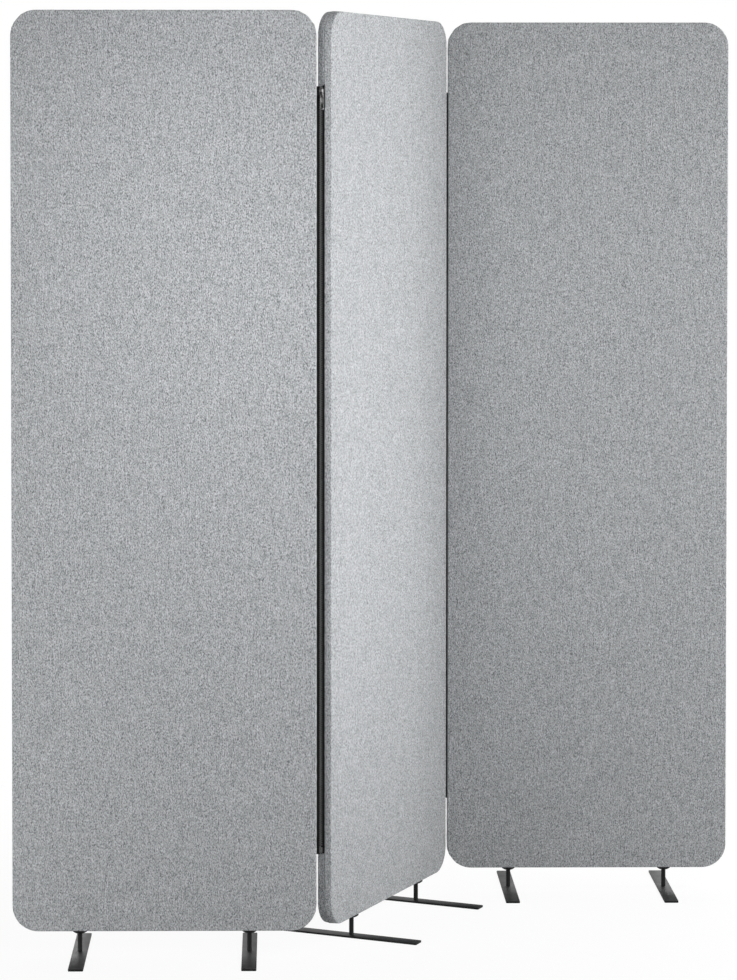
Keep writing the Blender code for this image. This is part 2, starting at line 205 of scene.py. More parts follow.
# Rounding and shading of small pieces
ARC_STEPS = 6
PLATE_ROUND_STEPS = 2
PLATE_MERGE_SHARE = 0.02
CREASE = math.radians(35)
STOP_ROUND = 0.0004
BOX_ROUND = 0.0003
SOFT_ROUND_STEPS = 3
SOFT_ROUND_PROFILE = 0.5
SOFT_MERGE_SHARE = 0.05
FLAT_ANGLE = math.radians(1)
CORNER_ANGLE = math.radians(30)

# Finish of the cloth, in linear colour and metres
FABRIC_DARK = (0.12, 0.126, 0.132)
FABRIC_MIDDLE = (0.445, 0.458, 0.470)
FABRIC_LIGHT = (0.76, 0.77, 0.785)
FABRIC_ROUGHNESS = 0.92
FABRIC_GLOSS = {"Sheen Weight": 0.08, "Sheen Roughness": 0.5, "Specular IOR Level": 0.25}
THREAD_PITCH = 0.0011
THREAD_RELIEF = 0.00012
THREAD_GAIN = 0.10
FLECK_SIZE = (0.0019, 0.0035, 0.0019)
FLECK_GAIN = 1.8
STREAK_SIZE = (0.0018, 0.026, 0.0018)
STREAK_GAIN = 0.55
FINE_FLECK_SIZE = (0.0012, 0.0026, 0.0012)
FINE_FLECK_GAIN = 0.5
CLOUD_SIZE = (0.07, 0.09, 0.07)
CLOUD_GAIN = 0.04
FUZZ_SIZE = (0.0004, 0.0007, 0.0004)
FUZZ_GAIN = 0.6

# Noise: how its lattice is turned, and the span that most of its values fill
GRAIN_AXIS = (1, 1, 1)
GRAIN_TURN = 0.9
NOISE_LOW = 0.3
NOISE_HIGH = 0.7

# Kinds of noise: how many layers of detail, and a layer's share of the strength of the one before
SMOOTH = (1.0, 0.5)
FINE = (2.0, 0.5)
CLOUDY = (3.0, 0.5)
RICH = (4.0, 0.6)
FIBROUS = (4.0, 0.7)

# Finish of the feet, a powder coat
COAT_COLOUR = (0.006, 0.0061, 0.0064)
COAT_SPECK = (0.009, 0.00915, 0.0096)
COAT_SPECK_SPAN = (0.35, 0.75)
COAT_GLOSS = {"Specular IOR Level": 0.16}
COAT_SMOOTH = 0.45
COAT_ROUGH = 0.53
COAT_CLOUD_SIZE = (0.03, 0.03, 0.03)
COAT_PEEL_SIZE = (0.0006, 0.0006, 0.0006)
COAT_RELIEF = 0.00002

# Finish of the zip tapes
TAPE_COLOUR = (0.004, 0.004, 0.0043)
TAPE_LIGHT = (0.010, 0.010, 0.0105)
TAPE_SPAN = (0.2, 0.9)
TAPE_ROUGHNESS = 0.85
TAPE_GLOSS = {"Sheen Weight": 0.02, "Specular IOR Level": 0.08}
TAPE_PITCH = 0.0007
TAPE_THREAD_GAIN = 0.4
TAPE_LINT_SIZE = (0.0012, 0.0012, 0.004)
TAPE_LINT_GAIN = 0.6
TAPE_RELIEF = 0.00012

# Finish of the zip teeth, boxes and pins
TEETH_COLOUR = (0.038, 0.039, 0.040)
TEETH_LIGHT = (0.090, 0.092, 0.094)
TEETH_SPAN = (0.3, 0.8)
TEETH_SMOOTH = 0.28
TEETH_ROUGH = 0.42
TEETH_CLOUD_SIZE = (0.004, 0.004, TEETH_PITCH / 2)
TEETH_GRAIN_SIZE = (0.0003, 0.0003, 0.0003)
TEETH_RELIEF = 0.00001

# Finish of sliders, pull tabs and top stops
SLIDER_COLOUR = (0.010, 0.010, 0.0105)
SLIDER_WORN = (0.09, 0.09, 0.09)
SLIDER_WEAR_SPAN = (0.45, 0.75)
SLIDER_GLOSS = {"Metallic": 0.35}
SLIDER_SMOOTH = 0.20
SLIDER_ROUGH = 0.30
SLIDER_WEAR_SIZE = (0.003, 0.003, 0.005)
SLIDER_GRAIN_SIZE = (0.0005, 0.0005, 0.0005)
SLIDER_RELIEF = 0.00001

# Finishes inside the panels
FELT_DARK = (0.52, 0.52, 0.50)
FELT_LIGHT = (0.70, 0.70, 0.68)
FELT_ROUGHNESS = 0.95
FELT_GLOSS = {"Sheen Weight": 0.2}
FELT_FIBRE_SIZE = (0.006, 0.0006, 0.0008)
FELT_RELIEF = 0.0004
WOOD_DARK = (0.46, 0.32, 0.18)
WOOD_LIGHT = (0.62, 0.46, 0.29)
WOOD_SPAN = (0.35, 0.65)
WOOD_ROUGHNESS = 0.7
WOOD_GRAIN_SIZE = (0.12, 0.12, 0.003)
WOOD_RELIEF = 0.0003
STEEL_COLOUR = (0.60, 0.60, 0.58)
STEEL_SMOOTH = 0.28
STEEL_ROUGH = 0.45
STEEL_MARK_SIZE = (0.02, 0.02, 0.0002)
STEEL_RELIEF = 0.00003

# Stage
FLOOR_COLOUR = (0.90, 0.90, 0.90)
FLOOR_BOUNCE = (0.35, 0.35, 0.35)
FLOOR_WHITE_SHARE = 0.92
FLOOR_FADE = (0.95, 1.7)
FLOOR_RADIUS = 14.0
FLOOR_RINGS = 4
SKY_COLOUR = (0.97, 0.985, 1.0)
SKY_STRENGTH = 0.25

# Lamps: name, azimuth in degrees, distance, height, aimed place, width, tallness, spread in degrees, watts
CENTRE = (0, 0, 1.1)
LOW = (0, 0, 0.8)
HIGH = (0, 0, 1.4)
NEAR_EDGE = (-0.16, -0.30, 1.2)
NEAR_EDGE_TOP = (-0.16, -0.30, 1.4)
LAMPS = (
    ("front_right", 30, 2.6, 1.5, CENTRE, 0.8, 1.4, 180, 23),
    ("left_high", -35, 2.8, 2.0, HIGH, 0.8, 0.8, 180, 8.5),
    ("left_low", -50, 2.2, 0.3, LOW, 0.8, 0.8, 180, 10),
    ("left_strip", -30, 1.9, 1.7, NEAR_EDGE_TOP, 0.4, 0.8, 50, 1.0),
    ("right_side", 95, 2.2, 1.4, CENTRE, 1.0, 1.2, 180, 31),
    ("right_strip", 75, 2.4, 1.3, NEAR_EDGE, 0.4, 2.0, 35, 1.9),
    ("rear_left", -150, 3.0, 1.8, CENTRE, 1.6, 1.6, 180, 40),
    ("rear_right", 150, 3.0, 1.8, CENTRE, 1.6, 1.6, 180, 40),
)


def joint_place(name):
    return Vector(next(j for j in frame["joints"] if j["name"] == name)["pos_m"])


def frame_matrix(origin, along):
    """A frame at origin on the floor whose x axis runs along a level direction."""
    turn = math.atan2(along.y, along.x)
    return Matrix.Translation((origin.x, origin.y, 0)) @ Matrix.Rotation(turn, 4, "Z")


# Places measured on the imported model
ACROSS = Vector((1, 0, 0))
LEFT_SEAM = joint_place("near_fold_second_seam")
NEAR_SEAM = joint_place("near_fold")
FAR_SEAM = joint_place("far_fold")
RIGHT_SEAM = joint_place("far_fold_second_seam")
PANEL_WIDTH = (FAR_SEAM - NEAR_SEAM).length
STRIP_HALF = (NEAR_SEAM - LEFT_SEAM).length / 2
PANEL_FRAMES = {
    "left_panel": frame_matrix(LEFT_SEAM - ACROSS * PANEL_WIDTH, ACROSS),
    "middle_panel": frame_matrix(NEAR_SEAM, FAR_SEAM - NEAR_SEAM),
    "right_panel": frame_matrix(RIGHT_SEAM, ACROSS),
}
COVER_LOW, COVER_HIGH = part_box("left_panel_front_cover")
PANEL_FOOT, PANEL_TOP = COVER_LOW.z, COVER_HIGH.z
PANEL_HEIGHT = PANEL_TOP - PANEL_FOOT
HALF_THICKNESS = LEFT_SEAM.y - COVER_LOW.y
POST_LOW, POST_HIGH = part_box("left_panel_left_foot_post")
FOOT_FROM_EDGE = (POST_LOW.x + POST_HIGH.x) / 2 - COVER_LOW.x


# Meshes


def add_object(name, mesh, material, matrix):
    mesh.materials.clear()
    mesh.materials.append(material)
    obj = bpy.data.objects.new(name, mesh)
    bpy.context.scene.collection.objects.link(obj)
    obj.matrix_world = matrix
    return obj


def mesh_of(name, vertices, faces):
    mesh = bpy.data.meshes.new(name)
    mesh.from_pydata([tuple(v) for v in vertices], [], faces)
    mesh.polygons.foreach_set("use_smooth", [True] * len(mesh.polygons))
    mesh.update()
    return mesh


def joined(name, meshes):
    """One mesh of several closed shells."""
    whole = bmesh.new()
    for mesh in meshes:
        whole.from_mesh(mesh)
        bpy.data.meshes.remove(mesh)
    bmesh.ops.recalc_face_normals(whole, faces=whole.faces)
    result = bpy.data.meshes.new(name)
    whole.to_mesh(result)
    whole.free()
    return result


def moved(mesh, matrix):
    mesh.transform(matrix)
    return mesh


def sharpened(mesh, angle=CREASE):
    """Keeps shading smooth over rounds and crisp over edges sharper than angle."""
    mesh.polygons.foreach_set("use_smooth", [True] * len(mesh.polygons))
    mesh.set_sharp_from_angle(angle=angle)
    return mesh


def smoothstep(value, low, high):
    share = np.clip((value - low) / (high - low), 0, 1)
    return share * share * (3 - 2 * share)


def ring_faces(first, second, count):
    """Faces between two closed rings of equally many points, from their first points' numbers."""
    pairs = [(i, (i + 1) % count) for i in range(count)]
    return [(first + i, first + after, second + after, second + i) for i, after in pairs]


def loft(name, rings):
    """A closed body through rings of equally many points."""
    count = len(rings[0])
    vertices = [point for ring in rings for point in ring]
    faces = []
    for low in range(len(rings) - 1):
        faces += ring_faces(low * count, (low + 1) * count, count)
    faces.append(tuple(range(count - 1, -1, -1)))
    faces.append(tuple(range((len(rings) - 1) * count, len(rings) * count)))
    return mesh_of(name, vertices, faces)


def circle(radius, height):
    angles = [TAU * k / ROUND_SIDES for k in range(ROUND_SIDES)]
    return [(radius * math.cos(a), radius * math.sin(a), height) for a in angles]


def turned(name, profile):
    """A body turned about the z axis from (radius, height) points, from its foot to its top."""
    return sharpened(loft(name, [circle(radius, height) for radius, height in profile]))


def arc_points(centre_x, centre_y, radius, start, end):
    """Points on an arc, its angles in quarter turns."""
    angles = [QUARTER * (start + (end - start) * k / ARC_STEPS) for k in range(ARC_STEPS + 1)]
    return [(centre_x + radius * math.cos(a), centre_y + radius * math.sin(a)) for a in angles]


def tapered_outline(top_half, foot_half, top, foot, top_radius, foot_radius):
    """A four-sided outline with rounded corners whose sides lean from foot_half to top_half."""
    points = arc_points(top_half - top_radius, top - top_radius, top_radius, 0, 1)
    points += arc_points(top_radius - top_half, top - top_radius, top_radius, 1, 2)
    points += arc_points(foot_radius - foot_half, foot + foot_radius, foot_radius, 2, 3)
    points += arc_points(foot_half - foot_radius, foot + foot_radius, foot_radius, 3, 4)
    return points


def plate(name, outlines, half_thickness, rounding):
    """A flat plate from an outline and its holes, with rounded edges. It lies across z."""
    curve = bpy.data.curves.new(name, "CURVE")
    curve.dimensions = "2D"
    curve.fill_mode = "BOTH"
    curve.extrude = half_thickness - rounding
    curve.bevel_depth = rounding
    curve.bevel_resolution = PLATE_ROUND_STEPS
    curve.offset = -rounding
    for outline in outlines:
        spline = curve.splines.new("POLY")
        spline.points.add(len(outline) - 1)
        for point, (x, y) in zip(spline.points, outline):
            point.co = (x, y, 0, 1)
        spline.use_cyclic_u = True
    holder = bpy.data.objects.new(name, curve)
    bpy.context.scene.collection.objects.link(holder)
    bpy.context.view_layer.update()
    evaluated = holder.evaluated_get(bpy.context.evaluated_depsgraph_get())
    mesh = bpy.data.meshes.new_from_object(evaluated)
    bpy.data.objects.remove(holder)
    bpy.data.curves.remove(curve)
    merged = bmesh.new()
    merged.from_mesh(mesh)
    bmesh.ops.remove_doubles(merged, verts=merged.verts, dist=rounding * PLATE_MERGE_SHARE)
    merged.to_mesh(mesh)
    merged.free()
    mesh.materials.clear()
    return sharpened(mesh)


def upright_plate(name, outlines, y, half_thickness, rounding):
    """A plate whose outline is given as (x, z), standing at depth y."""
    upright = Matrix.Translation((0, y, 0)) @ Matrix.Rotation(QUARTER, 4, "X")
    return moved(plate(name, outlines, half_thickness, rounding), upright)


# Outline of a panel, from the left end of its foot and round anticlockwise as seen from the front


def grid_steps(length):
    """How many steps of about SIDE_STEP a length takes, a multiple of the grid's stride."""
    return round(length / SIDE_STEP / GRID_STRIDE) * GRID_STRIDE


SIDE_COUNT = grid_steps(PANEL_WIDTH - 2 * CORNER_RADIUS)
RISE_COUNT = grid_steps(PANEL_HEIGHT - 2 * CORNER_RADIUS)
CORNER_COUNT = grid_steps(CORNER_RADIUS * QUARTER)


def outline_points():
    """Place, outward direction and share of a corner's turn for each point of a panel's outline."""
    left, right = CORNER_RADIUS, PANEL_WIDTH - CORNER_RADIUS
    low, high = PANEL_FOOT + CORNER_RADIUS, PANEL_TOP - CORNER_RADIUS
    centres = np.array(((right, low), (right, high), (left, high), (left, low)))
    places, outward, turns = [], [], []
    for corner, count in enumerate((SIDE_COUNT, RISE_COUNT, SIDE_COUNT, RISE_COUNT)):
        before, centre = centres[corner - 1], centres[corner]
        start = (corner - 1) * QUARTER
        for step in range(count + CORNER_COUNT):
            turn = max(0, step - count) / CORNER_COUNT
            angle = start + turn * QUARTER
            direction = np.array((math.cos(angle), math.sin(angle)))
            places.append(before + (centre - before) * min(step / count, 1) + direction * CORNER_RADIUS)
            outward.append(direction)
            turns.append(turn)
    return np.array(places), np.array(outward), np.array(turns)


OUTLINE, OUTWARD, TURNS = outline_points()
OUTLINE_STEPS = np.linalg.norm(np.roll(OUTLINE, -1, axis=0) - OUTLINE, axis=1)
OUTLINE_RUN = np.cumsum(OUTLINE_STEPS) - OUTLINE_STEPS
OUTLINE_LENGTH = OUTLINE_STEPS.sum()
CORNER_SHARE = np.sin(np.pi * TURNS)


def ripple(seed, lengths):
    """A smooth random wave along the outline, about one unit high, that meets itself after one round."""
    draw = random.Random(seed)
    shortest, longest = lengths
    total = np.zeros_like(OUTLINE_RUN)
    for _ in range(RIPPLE_WAVES):
        length = shortest * (longest / shortest) ** draw.random()
        turns = round(OUTLINE_LENGTH / length)
        total += np.sin(TAU * (turns * OUTLINE_RUN / OUTLINE_LENGTH + draw.random()))
    return total / math.sqrt(RIPPLE_WAVES / 2)


def undulation(x, z, seed):
    """A slow random rise and fall over a panel's face, about one unit high."""
    draw = random.Random(seed)
    total = np.zeros_like(x)
    for _ in range(FACE_WAVES):
        length = FACE_WAVE_LENGTH * (1 + draw.random())
        angle = draw.random() * TAU
        total += np.sin(TAU * ((x * math.cos(angle) + z * math.sin(angle)) / length + draw.random()))
    return total / math.sqrt(FACE_WAVES / 2)


def eyelet():
    """How far a cover stands back from the middle plane where a foot's threaded insert passes."""
    feet = (FOOT_FROM_EDGE, PANEL_WIDTH - FOOT_FROM_EDGE)
    along = np.minimum(*[abs(OUTLINE[:, 0] - foot) for foot in feet])
    along = np.where(OUTWARD[:, 1] < 0, along, EYELET_RADIUS)
    return np.sqrt(EYELET_RADIUS**2 - np.minimum(along, EYELET_RADIUS) ** 2)


def edge_points(lip_top):
    """Insets and heights over a panel's edge, from lip to face: a slight lean, then a tight round."""
    shoulder = HALF_THICKNESS - EDGE_ROUND
    points = []
    for ring in range(GUSSET_RINGS):
        height = lip_top + (shoulder - lip_top) * ring / GUSSET_RINGS
        points.append((EDGE_LEAN * height / HALF_THICKNESS, height))
    for ring in range(ROUND_RINGS + 1):
        angle = QUARTER * ring / ROUND_RINGS
        height = np.full_like(lip_top, shoulder + EDGE_ROUND * math.sin(angle))
        inset = EDGE_LEAN * height / HALF_THICKNESS + EDGE_ROUND * (1 - math.cos(angle))
        points.append((inset, height))
    return points


def cover_rings(seed, side):
    """Rings of (inset from the outline, height over the middle plane, stride) from the lip to the face."""
    seam = ripple(seed, SEAM_WAVES) * SEAM_WANDER * (SEAM_CALM + CORNER_SHARE) * side
    lip = np.maximum(SEAM_GAP, eyelet()) + seam
    pleats = ripple(seed + PLEAT_SEED * side, PLEAT_WAVES) * CORNER_SHARE * PLEAT_HEIGHT
    puckers = ripple(seed + PUCKER_SEED * side, PUCKER_WAVES) * PUCKER_HEIGHT
    ridge = (1 + ripple(seed + RIDGE_SEED * side, RIDGE_WAVES)) * CORNER_SHARE * RIDGE_HEIGHT
    rings = [(np.full_like(lip, LIP_DEPTH), lip, 1)]
    for step in range(LIP_STEPS, 0, -1):
        angle = QUARTER * step / LIP_STEPS
        inset = LIP_ROUND * (1 - math.cos(angle)) - pleats - puckers
        rings.append((inset, lip + LIP_ROUND * (1 - math.sin(angle)), 1))
    for inset, height in edge_points(lip + LIP_ROUND):
        fade = 1 - smoothstep(height, 0, HALF_THICKNESS)
        swell = (pleats + puckers) * fade
        swell += ridge * np.exp(-(((height - RIDGE_PLACE) / RIDGE_SPREAD) ** 2))
        rings.append((inset - swell, height, 1))
    for inset, stride in FACE_RINGS:
        rings.append((np.full_like(lip, inset), np.full_like(lip, HALF_THICKNESS), stride))
    return rings


def inside_rings(lip_ring):
    """Rings of the cover's inside, from its lip to the rim of its flat back."""
    inset, height, _ = lip_ring
    top = HALF_THICKNESS - COVER_THICKNESS
    inner_lip = height + COVER_THICKNESS
    rings = [(inset, inner_lip, 1)]
    for share, inner_inset in LINING_RINGS:
        inner_height = inner_lip + (top - inner_lip) * share
        rings.append((np.full_like(inset, inner_inset), inner_height, GRID_STRIDE))
    return rings


def ring_points(ring, side):
    inset, height, stride = ring
    flat = OUTLINE - OUTWARD * inset.reshape(-1, 1)
    return np.stack([flat[:, 0], side * height, flat[:, 1]], axis=1)[::stride]


def bridge(first, first_count, second, second_count):
    """Faces between two closed rings; the second may have a half or a quarter of the first one's points."""
    ratio = first_count // second_count
    half = ratio // 2
    faces = []
    for i in range(second_count):
        near = [first + (i * ratio + k) % first_count for k in range(ratio + 1)]
        far = second + i, second + (i + 1) % second_count
        faces += [(near[k], near[k + 1], far[0]) for k in range(half)]
        if ratio == 1:
            faces.append((near[0], near[1], far[1], far[0]))
        else:
            faces.append((near[half], far[1], far[0]))
        faces += [(near[k], near[k + 1], far[1]) for k in range(half, ratio) if ratio > 1]
    return faces


def face_grid(base, ring_start, ring_count, side):
    """Points and faces that fill the innermost face ring; each rounded corner fans into a grid corner."""
    wide, tall = SIDE_COUNT // GRID_STRIDE, RISE_COUNT // GRID_STRIDE
    xs = np.linspace(CORNER_RADIUS, PANEL_WIDTH - CORNER_RADIUS, wide + 1)
    zs = np.linspace(PANEL_FOOT + CORNER_RADIUS, PANEL_TOP - CORNER_RADIUS, tall + 1)
    points = np.array([(x, side * HALF_THICKNESS, z) for z in zs for x in xs])

    def at(i, j):
        return base + j * (wide + 1) + i

    cells = [(i, j) for j in range(tall) for i in range(wide)]
    faces = [(at(i, j), at(i + 1, j), at(i + 1, j + 1), at(i, j + 1)) for i, j in cells]
    rim = [
        [at(i, 0) for i in range(wide + 1)],
        [at(wide, j) for j in range(tall + 1)],
        [at(i, tall) for i in range(wide, -1, -1)],
        [at(0, j) for j in range(tall, -1, -1)],
    ]
    ring = 0
    for edge in rim:
        for k in range(len(edge) - 1 + CORNER_COUNT // GRID_STRIDE):
            near = ring_start + ring, ring_start + (ring + 1) % ring_count
            if k < len(edge) - 1:
                faces.append((*near, edge[k + 1], edge[k]))
            else:
                faces.append((*near, edge[-1]))
            ring += 1
    return points, faces


def lift_face(vertices, side, seed):
    """Crowns the face a little inside its rim and adds the cloth's slow waves."""
    x, y, z = vertices.T
    inland = np.minimum.reduce((x, PANEL_WIDTH - x, z - PANEL_FOOT, PANEL_TOP - z))
    on_face = abs(y) > HALF_THICKNESS - COVER_THICKNESS / 2
    waves = FACE_CROWN + undulation(x, z, seed) * FACE_WAVE_HEIGHT
    vertices[:, 1] += side * on_face * smoothstep(inland, EDGE_DEPTH, CORNER_RADIUS) * waves


def unroll(mesh, vertices, starts, flat_ring, index, side):
    """Lays the cloth flat for its weave, in metres: the face as it is, and the edge folded outward.

    The index sets each cover's cloth apart, so that no two show the same flecks.
    """
    mirror = np.array((-side, 1))
    flat = vertices[:, (0, 2)] * mirror
    count = len(OUTLINE)
    for ring in range(flat_ring - 1, -1, -1):
        here = slice(starts[ring], starts[ring] + count)
        after = slice(starts[ring + 1], starts[ring + 1] + count)
        step = np.linalg.norm(vertices[here] - vertices[after], axis=1).reshape(-1, 1)
        flat[here] = flat[after] + OUTWARD * mirror * step
    flat += np.array((index, index))
    layer = mesh.uv_layers.new(name=CLOTH_MAP)
    corners = np.empty(len(mesh.loops), int)
    mesh.loops.foreach_get("vertex_index", corners)
    layer.data.foreach_set("uv", flat[corners].ravel())


def cover_mesh(name, index, side):
    """One half of a panel's cover as a closed sheet with lip, rounded edge, face and inside."""
    seed = SEED + PANEL_SEEDS * index
    outer = cover_rings(seed, side)
    inner = inside_rings(outer[0])
    points = [ring_points(ring, side) for ring in outer + inner]
    counts = [len(ring) for ring in points]
    starts = [sum(counts[:i]) for i in range(len(counts))]
    faces = []
    for i in range(len(outer) - 1):
        faces += bridge(starts[i], counts[i], starts[i + 1], counts[i + 1])
    inward = bridge(starts[0], counts[0], starts[len(outer)], counts[len(outer)])
    for i in range(len(outer), len(points) - 1):
        inward += bridge(starts[i], counts[i], starts[i + 1], counts[i + 1])
    inward.append(tuple(range(starts[-1], starts[-1] + counts[-1])))
    faces += [face[::-1] for face in inward]
    grid, more = face_grid(sum(counts), starts[len(outer) - 1], counts[len(outer) - 1], side)
    faces += more
    vertices = np.concatenate(points + [grid])
    lift_face(vertices, side, seed + FACE_SEED * side)
    mesh = mesh_of(name, vertices, [face[::-1] for face in faces] if side > 0 else faces)
    flat_ring = 1 + LIP_STEPS + GUSSET_RINGS + ROUND_RINGS
    unroll(mesh, vertices, starts, flat_ring, 2 * index + side, side)
    return mesh


# Zip pieces, in a zip's frame


def tape_columns():
    """Half thickness of a tape at distances from the middle line, from its bead to its edge in the seam."""
    bead_middle = (BEAD_INNER + BEAD_OUTER) / 2
    columns = [(BEAD_INNER, BEAD_HALF / 2), (bead_middle, BEAD_HALF), (BEAD_OUTER, BEAD_HALF / 2)]
    edge = STRIP_HALF + TAPE_TUCK
    ribs = round((edge - TOOTH_OUTER) / TAPE_RIB_STEP)
    for k in range(ribs + 1):
        place = TOOTH_OUTER + (edge - TOOTH_OUTER) * k / ribs
        columns.append((place, TAPE_HALF - TAPE_RIB_DEPTH * (k % 2)))
    return columns


def tape_mesh(name, node, inner_top, side, seed):
    """A woven tape with lengthwise ribs, its beaded edge in the teeth and its outer edge in the seam."""
    low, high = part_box(node)
    columns = tape_columns()
    edge = columns[-1][0]
    phase = random.Random(seed).random()
    rows = round((high.z - low.z) / TAPE_ROW_STEP)
    rings = []
    for row in range(rows + 1):
        share = row / rows
        wave = math.sin(TAU * (row / TAPE_WAVE_ROWS + phase))
        wave *= TAPE_WAVE * math.sin(TAU * (share * TAPE_SWELLS + phase))
        front, back = [], []
        for place, half in columns:
            rise = max(0, place - TOOTH_OUTER) / (edge - TOOTH_OUTER)
            top = inner_top + (high.z - inner_top) * rise
            z = low.z + (top - low.z) * share
            middle = wave * math.sin(math.pi * min(1, place / edge))
            front.append((side * place, middle - half, z))
            back.append((side * place, middle + half, z))
        rings.append(front + back[::-1])
    mesh = loft(name, rings)
    if side < 0:
        mesh.flip_normals()
    return mesh


def tooth_ring(place, half_height, half_depth):
    power = 2 / TOOTH_POWER
    ring = []
    for k in range(TOOTH_POINTS):
        angle = TAU * (k + 0.5) / TOOTH_POINTS
        across, up = math.cos(angle), math.sin(angle)
        y = math.copysign(abs(across) ** power, across) * half_depth
        z = math.copysign(abs(up) ** power, up) * half_height
        ring.append((place, y, z))
    return ring


def teeth_mesh(name, node, side):
    """A row of moulded teeth whose heads reach over the middle line between those of the other row."""
    low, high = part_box(node)
    count = math.floor((high.z - low.z) / TEETH_PITCH) - 1
    offset = low.z + TEETH_PITCH / 2 + (TEETH_PITCH / 2 if side > 0 else 0)
    rings = [tooth_ring(*section) for section in TOOTH_SECTIONS]
    tooth = np.array([point for ring in rings for point in ring]) * (side, 1, 1)
    shell = loft("tooth", rings)
    pattern = [tuple(p.vertices) for p in shell.polygons]
    bpy.data.meshes.remove(shell)
    vertices, faces = [], []
    for k in range(count + 1):
        base = k * len(tooth)
        vertices.append(tooth + (0, 0, offset + k * TEETH_PITCH))
        faces += [tuple(base + i for i in (face if side < 0 else face[::-1])) for face in pattern]
    return sharpened(mesh_of(name, np.concatenate(vertices), faces), TOOTH_CREASE)


def softened(name, node, width, matrix):
    """A copy of a small rigid node with its edges rounded, in the frame given by matrix."""
    work = bmesh.new()
    work.from_mesh(frame["nodes"][node].data)
    work.transform(matrix.inverted())
    bmesh.ops.remove_doubles(work, verts=work.verts, dist=width * SOFT_MERGE_SHARE)
    bmesh.ops.dissolve_limit(work, angle_limit=FLAT_ANGLE, verts=work.verts, edges=work.edges)
    shared = [edge for edge in work.edges if len(edge.link_faces) == 2]
    crisp = [edge for edge in shared if edge.calc_face_angle() > CORNER_ANGLE]
    rounds = {"offset": width, "segments": SOFT_ROUND_STEPS, "profile": SOFT_ROUND_PROFILE}
    bmesh.ops.bevel(work, geom=crisp, affect="EDGES", clamp_overlap=True, **rounds)
    mesh = bpy.data.meshes.new(name)
    work.to_mesh(mesh)
    work.free()
    return sharpened(mesh)


def crown_outline():
    """Side view of the slider's crown as (depth, height) points: an arch over the tab's bar."""
    inner = PLATE_HALF_Y + CROWN_OPENING
    bend_depth = inner + CROWN_WALL - CROWN_BEND
    half, inner_half = CROWN_HALF_LENGTH, CROWN_HALF_LENGTH - CROWN_LEG
    base = PLATE_HALF_Y - PLATE_ROUND
    points = [(base, -half)]
    points += arc_points(bend_depth, CROWN_BEND - half, CROWN_BEND, -1, 0)
    points += arc_points(bend_depth, half - CROWN_BEND, CROWN_BEND, 0, 1)
    points += [(base, half), (base, inner_half), (inner, inner_half)]
    points += [(inner, -inner_half), (base, -inner_half)]
    return points


def slider_mesh(name, node):
    """Two flared plates with side flanges round the teeth, the neck between the rows and the crown."""
    low_corner, high_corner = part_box(node)
    middle, half = (low_corner.z + high_corner.z) / 2, (high_corner.z - low_corner.z) / 2
    body = tapered_outline(SHOULDER, WAIST, half, -half, SHOULDER_RADIUS, WAIST_RADIUS)
    lean = (SHOULDER - WAIST) / (half * 2)
    pieces = []
    for side in (-1, 1):
        y = side * (PLATE_HALF_Y - PLATE_THICKNESS / 2)
        pieces.append(upright_plate("plate", [body], y, PLATE_THICKNESS / 2, PLATE_ROUND))
        depth = PLATE_HALF_Y - PLATE_ROUND - FLANGE_GAP
        for edge in (-1, 1):
            foot, top = WAIST_RADIUS - half, half - SHOULDER_RADIUS
            low = WAIST + lean * WAIST_RADIUS
            high = SHOULDER - lean * SHOULDER_RADIUS
            strip = [
                (edge * (low - FLANGE_WIDTH), foot),
                (edge * low, foot),
                (edge * high, top),
                (edge * (high - FLANGE_WIDTH), top),
            ]
            middle_y = side * (FLANGE_GAP + depth / 2)
            pieces.append(upright_plate("flange", [strip], middle_y, depth / 2, PLATE_ROUND))
    neck = [
        (-NECK_HALF, half - NECK_LENGTH),
        (NECK_HALF, half - NECK_LENGTH),
        (NECK_TOP_HALF, half - PLATE_THICKNESS),
        (-NECK_TOP_HALF, half - PLATE_THICKNESS),
    ]
    pieces.append(upright_plate("neck", [neck], 0, PLATE_HALF_Y - PLATE_ROUND, NECK_ROUND))
    crown = plate("crown", [crown_outline()], CROWN_WIDTH / 2, PLATE_ROUND)
    upright_facing_front = Matrix(((0, 0, 1, 0), (-1, 0, 0, 0), (0, 1, 0, 0), (0, 0, 0, 1)))
    pieces.append(moved(crown, upright_facing_front))
    return moved(joined(name, pieces), Matrix.Translation((0, 0, middle)))


